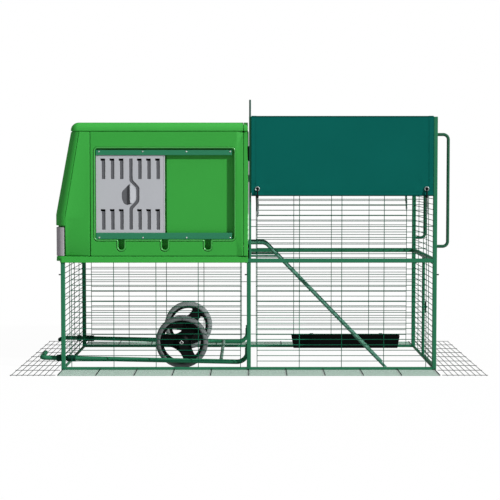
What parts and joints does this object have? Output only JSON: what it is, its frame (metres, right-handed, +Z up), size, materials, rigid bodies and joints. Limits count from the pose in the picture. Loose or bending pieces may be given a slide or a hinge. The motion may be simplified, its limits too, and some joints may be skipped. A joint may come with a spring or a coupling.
{
  "type": "poultry coop with run",
  "caption": "Raised moulded hen house on a tube frame with a welded mesh run beside and under it, a lifting pop door and ladder, side vents, run cover and foot-lever wheels.",
  "frame": {"origin": "on the ground at the centre of the footprint, skirts included, level with the centre posts", "axes": "+X along the coop from the house towards the run, +Y from the pictured front to the back, +Z up"},
  "size_m": [2.5, 1.503, 1.463],
  "materials": {
    "frame_green": "satin green powder coat",
    "wire_green": "green coated welded wire",
    "house_green": "satin moulded green plastic",
    "rail_green": "satin blue-green coated strip",
    "vent_grey": "light grey moulded plastic",
    "drawer_grey": "mid grey moulded plastic",
    "inner_grey": "grey moulded plastic",
    "black_plastic": "black moulded plastic",
    "black_steel": "black coated steel",
    "grip_dark": "dark rubber sleeve",
    "tyre_grey": "grey solid rubber tyre",
    "plated_steel": "zinc plated steel",
    "cover_teal": "coated woven sheet, blue-green"
  },
  "bodies": {
    "coop": {"house_end_posts": "frame_green", "centre_posts": "frame_green", "run_end_posts": "frame_green", "base_rails": "frame_green", "waist_rails": "frame_green", "roof_rails": "frame_green", "slim_uprights": "frame_green", "end_mullion": "frame_green", "carry_handle_front": "frame_green", "carry_handle_back": "frame_green", "door_hinge_eyes": "frame_green", "ladder_rails": "frame_green", "ladder_rungs": "frame_green", "lever_pivots": "frame_green", "mesh_house_sides": "wire_green", "mesh_house_end": "wire_green", "mesh_run_lower": "wire_green", "mesh_run_upper": "wire_green", "mesh_run_roof": "wire_green", "mesh_run_end_upper": "wire_green", "mesh_run_end_lower": "wire_green", "skirts_long": "wire_green", "skirts_end": "wire_green", "house_base": "house_green", "house_wall_front": "house_green", "house_wall_back": "house_green", "house_rear_panel": "house_green", "house_roof": "house_green", "house_run_wall": "house_green", "vent_rails_front": "rail_green", "vent_rails_back": "rail_green", "nest_box": "inner_grey", "roost_bars": "inner_grey", "pop_door_guides": "inner_grey", "feed_trough": "black_plastic", "house_stays": "black_plastic", "trough_hooks": "black_steel", "frame_bolts": "black_steel", "vent_screws": "plated_steel", "cover_eyelets": "plated_steel", "cover_hooks": "plated_steel", "run_cover": "cover_teal"},
    "wheel_lever": {"lever_tubes": "frame_green", "lever_cross_bar": "frame_green", "lever_sleeves": "grip_dark", "wheel_brackets": "black_steel", "axle_nuts": "plated_steel"},
    "front_wheel": {"wheel_front": "black_plastic", "tyre_front": "tyre_grey"},
    "back_wheel": {"wheel_back": "black_plastic", "tyre_back": "tyre_grey"},
    "run_door": {"run_door_frame": "frame_green", "run_door_mesh": "wire_green"},
    "turn_latch": {"door_latch": "black_plastic"},
    "front_vent": {"vent_slider_front": "vent_grey"},
    "back_vent": {"vent_slider_back": "vent_grey"},
    "drawer": {"droppings_drawer": "drawer_grey"},
    "pop_hatch": {"pop_door": "inner_grey", "pop_door_rod": "frame_green"}
  },
  "joints": [
    {"name": "lever_pivot", "type": "hinge", "parent": "coop", "child": "wheel_lever", "pos_m": [-0.006, 0, 0.095], "axis": [0, -1, 0], "range_deg": [0, 1.8]},
    {"name": "front_wheel_spin", "type": "hinge", "parent": "wheel_lever", "child": "front_wheel", "pos_m": [-0.364, -0.427, 0.1433], "axis": [0, 1, 0], "continuous": true},
    {"name": "back_wheel_spin", "type": "hinge", "parent": "wheel_lever", "child": "back_wheel", "pos_m": [-0.364, 0.427, 0.1433], "axis": [0, 1, 0], "continuous": true},
    {"name": "run_door_hinge", "type": "hinge", "parent": "coop", "child": "run_door", "pos_m": [1.0073, -0.4853, 0.2955], "axis": [0, 0, -1], "range_deg": [0, 110]},
    {"name": "latch_turn", "type": "hinge", "parent": "coop", "child": "turn_latch", "pos_m": [1.01, 0, 0.292], "axis": [1, 0, 0], "range_deg": [0, 90]},
    {"name": "front_vent_slide", "type": "slide", "parent": "coop", "child": "front_vent", "axis": [1, 0, 0], "range_m": [0, 0.36]},
    {"name": "back_vent_slide", "type": "slide", "parent": "coop", "child": "back_vent", "axis": [1, 0, 0], "range_m": [0, 0.36]},
    {"name": "drawer_slide", "type": "slide", "parent": "coop", "child": "drawer", "axis": [-1, 0, 0], "range_m": [0, 0.6]},
    {"name": "pop_door_lift", "type": "slide", "parent": "coop", "child": "pop_hatch", "axis": [0, 0, 1], "range_m": [0, 0.33]}
  ]
}
